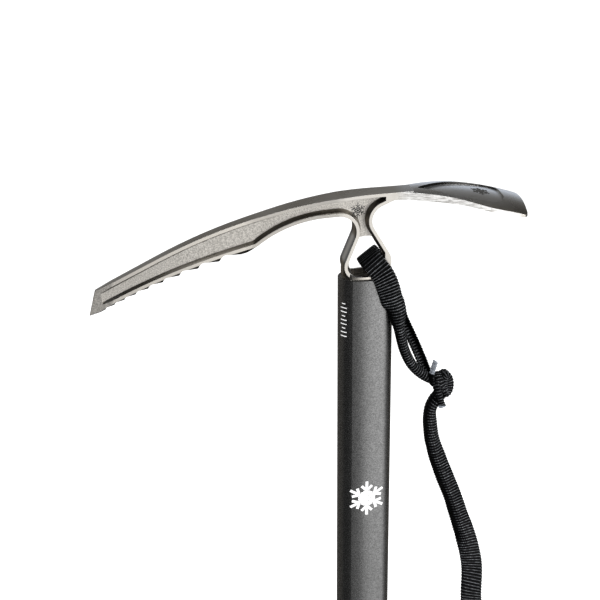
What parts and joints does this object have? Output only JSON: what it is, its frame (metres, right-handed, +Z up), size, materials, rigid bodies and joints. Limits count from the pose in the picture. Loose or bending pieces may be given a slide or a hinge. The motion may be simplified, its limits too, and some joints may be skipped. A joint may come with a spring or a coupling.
{
  "type": "ice axe",
  "caption": "Walking ice axe with a toothed pick, a broad adze, an oval tube shaft, a pointed spike and a knotted webbing leash with a wrist loop.",
  "frame": {"origin": "tip of the spike, on the shaft's axis", "axes": "+Z up the shaft axis towards the head, +X towards the adze, -X towards the pick, +Y completes the right-handed frame"},
  "size_m": [0.2533, 0.062, 0.6],
  "materials": {
    "cast_steel": "fine cast grain with polished rims",
    "spike_steel": "satin, ground towards the tip",
    "anodised_tube": "dark anodised, fine grain",
    "pin_steel": "satin",
    "adhesive": "cured, matte",
    "webbing": "flat ribbed nylon webbing",
    "slider_plastic": "moulded, fine texture"
  },
  "bodies": {
    "axe": {"head": "cast_steel", "shaft_tube": "anodised_tube", "head_bond": "adhesive", "head_pins": "pin_steel", "spike": "spike_steel", "spike_bond": "adhesive", "spike_rivet": "pin_steel"},
    "leash_upper": {"leash_head_loop": "webbing", "leash_knot": "webbing", "leash_tails": "webbing"},
    "leash_lower": {"leash_tether_front": "webbing", "leash_tether_back": "webbing", "wrist_loop": "webbing"},
    "slider": {"leash_slider": "slider_plastic"}
  },
  "joints": [
    {"name": "leash_swing", "type": "hinge", "parent": "axe", "child": "leash_upper", "pos_m": [0.0012, 0, 0.5604], "axis": [0, -1, 0], "range_deg": [0, 58]},
    {"name": "tether_swing", "type": "hinge", "parent": "leash_upper", "child": "leash_lower", "pos_m": [0.0496, 0, 0.472], "axis": [0, -1, 0], "range_deg": [-8, 75]},
    {"name": "slider_travel", "type": "slide", "parent": "leash_lower", "child": "slider", "axis": [-0.0705, 0, 0.9975], "range_m": [0, 0.036]}
  ]
}
